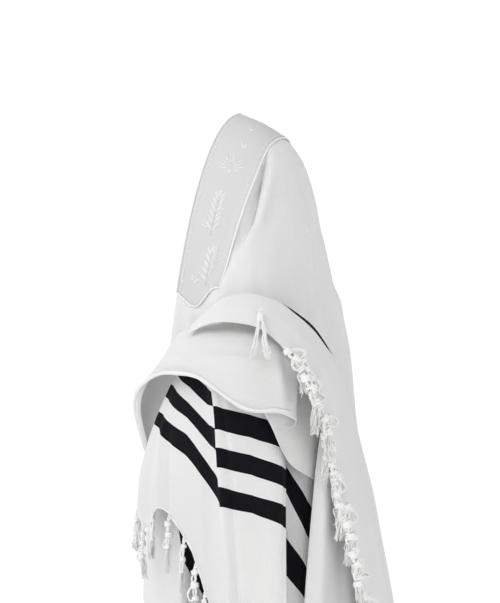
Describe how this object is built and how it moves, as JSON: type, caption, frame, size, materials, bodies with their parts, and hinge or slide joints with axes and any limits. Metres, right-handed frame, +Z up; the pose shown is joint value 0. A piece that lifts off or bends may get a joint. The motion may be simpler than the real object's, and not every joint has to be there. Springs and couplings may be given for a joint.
{
  "type": "tallit prayer shawl, worn over the head",
  "caption": "White wool prayer shawl with dark stripes, worn as a hood with a neckband, draped over the left arm and thrown over the left shoulder, fringed, with corner tassels.",
  "frame": {"origin": "underside of the cloth at the crown of the head, on the wearer's middle plane", "axes": "+Z up, -Y the way the wearer faces, +X the wearer's left"},
  "size_m": [0.5794, 0.5126, 1.1957],
  "materials": {
    "wool_cloth": "matt white woven wool with near-black woven stripes near its short edges",
    "neckband_satin": "white satin band with white raised embroidery and piped edges",
    "fringe_wool": "matt white twisted and knotted wool yarn"
  },
  "bodies": {
    "root": {"hood_and_back": "wool_cloth", "neckband": "neckband_satin", "left_arm_drape": "wool_cloth", "shoulder_roll": "wool_cloth", "shoulder_underfold": "wool_cloth", "throw_fall": "wool_cloth", "throw_flap": "wool_cloth", "front_crossing": "wool_cloth", "fringe_throw": "fringe_wool", "fringe_arm": "fringe_wool", "corner_tassel_shoulder": "fringe_wool", "corner_tassel_arm": "fringe_wool", "corner_tassel_back": "fringe_wool", "corner_tassel_side": "fringe_wool"}
  },
  "joints": []
}
